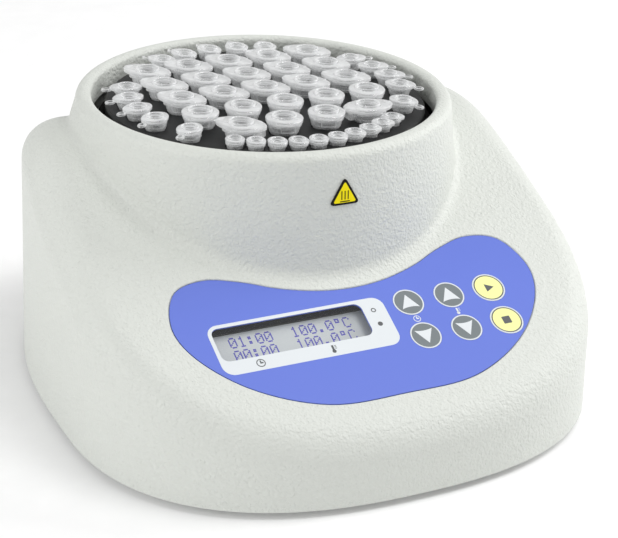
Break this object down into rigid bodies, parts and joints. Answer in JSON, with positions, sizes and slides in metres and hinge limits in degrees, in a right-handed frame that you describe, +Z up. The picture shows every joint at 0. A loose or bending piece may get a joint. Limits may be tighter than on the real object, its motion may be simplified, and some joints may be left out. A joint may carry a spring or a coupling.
{
  "type": "dry block heater",
  "caption": "Compact dry block heater: a round tower with a heated metal block full of micro tubes on a low housing with a sloping display and keypad.",
  "frame": {"origin": "middle of the footprint at floor level", "axes": "+Z up, +X to the right of a user, -Y towards the user (the sloping panel's side)"},
  "size_m": [0.21, 0.23, 0.1123],
  "materials": {
    "shell": "fine leather grain moulding, off-white",
    "base": "fine grain moulding, light grey",
    "rubber": "matt black rubber",
    "steel": "bright zinc-plated steel",
    "block": "black anodised, satin",
    "collar": "matt black silicone rubber",
    "heater": "orange silicone heater mat",
    "insulation": "pale mineral-fibre felt",
    "board": "green solder mask",
    "lcd": "reflective character display in a metal frame",
    "clear": "clear polyester window",
    "overlay": "fine textured printed polyester, blue",
    "key_yellow": "fine textured printed polyester, pale yellow",
    "key_grey": "fine textured printed polyester, grey",
    "black_plastic": "black moulded nylon",
    "label": "printed vinyl, yellow with a dark border",
    "cable": "PVC insulated wire, grey",
    "tube": "translucent natural polypropylene"
  },
  "bodies": {
    "root": {"tower_shell": "shell", "housing_shell": "shell", "base_plate": "base", "heating_block": "block", "block_collar": "collar", "heater_disc": "heater", "insulation_disc": "insulation", "carrier_plate": "steel", "block_sensor": "cable", "thermal_cutout": "black_plastic", "control_board": "board", "switch_board": "board", "lcd_module": "lcd", "display_window": "clear", "front_overlay": "overlay", "power_switch_body": "black_plastic", "dc_inlet": "black_plastic", "ribbon_cable": "cable", "heater_lead": "cable", "power_lead": "cable", "hot_surface_label": "label", "foot_front_left": "rubber", "base_screw_front_left": "steel", "foot_front_right": "rubber", "base_screw_front_right": "steel", "foot_rear_left": "rubber", "base_screw_rear_left": "steel", "foot_rear_right": "rubber", "base_screw_rear_right": "steel"},
    "key_time_up": {"key_time_up": "key_grey"},
    "key_time_down": {"key_time_down": "key_grey"},
    "key_temp_up": {"key_temp_up": "key_grey"},
    "key_temp_down": {"key_temp_down": "key_grey"},
    "key_run": {"key_run": "key_yellow"},
    "key_stop": {"key_stop": "key_yellow"},
    "power_rocker": {"power_rocker": "black_plastic"},
    "tubes": {"tube_01": "tube", "tube_02": "tube", "tube_03": "tube", "tube_04": "tube", "tube_05": "tube", "tube_06": "tube", "tube_07": "tube", "tube_08": "tube", "tube_09": "tube", "tube_10": "tube", "tube_11": "tube", "tube_12": "tube", "tube_13": "tube", "tube_14": "tube", "tube_15": "tube", "tube_16": "tube", "tube_17": "tube", "tube_18": "tube", "tube_19": "tube", "tube_20": "tube", "tube_21": "tube", "tube_22": "tube", "tube_23": "tube", "tube_24": "tube"}
  },
  "joints": [
    {"name": "key_time_up_press", "type": "slide", "parent": "root", "child": "key_time_up", "axis": [0, 0.4446, -0.8957], "range_m": [0, 0.0005], "stiffness_N_per_m": 400},
    {"name": "key_time_down_press", "type": "slide", "parent": "root", "child": "key_time_down", "axis": [0, 0.4446, -0.8957], "range_m": [0, 0.0005], "stiffness_N_per_m": 400},
    {"name": "key_temp_up_press", "type": "slide", "parent": "root", "child": "key_temp_up", "axis": [0, 0.4446, -0.8957], "range_m": [0, 0.0005], "stiffness_N_per_m": 400},
    {"name": "key_temp_down_press", "type": "slide", "parent": "root", "child": "key_temp_down", "axis": [0, 0.4446, -0.8957], "range_m": [0, 0.0005], "stiffness_N_per_m": 400},
    {"name": "key_run_press", "type": "slide", "parent": "root", "child": "key_run", "axis": [0, 0.4446, -0.8957], "range_m": [0, 0.0005], "stiffness_N_per_m": 400},
    {"name": "key_stop_press", "type": "slide", "parent": "root", "child": "key_stop", "axis": [0, 0.4446, -0.8957], "range_m": [0, 0.0005], "stiffness_N_per_m": 400},
    {"name": "power_rocker_tilt", "type": "hinge", "parent": "root", "child": "power_rocker", "pos_m": [-0.014, 0.1106, 0.025], "axis": [0, 0, 1], "range_deg": [-14, 0]},
    {"name": "tube_lift", "type": "slide", "parent": "root", "child": "tubes", "axis": [0, 0, 1], "range_m": [0, 0.05]}
  ]
}
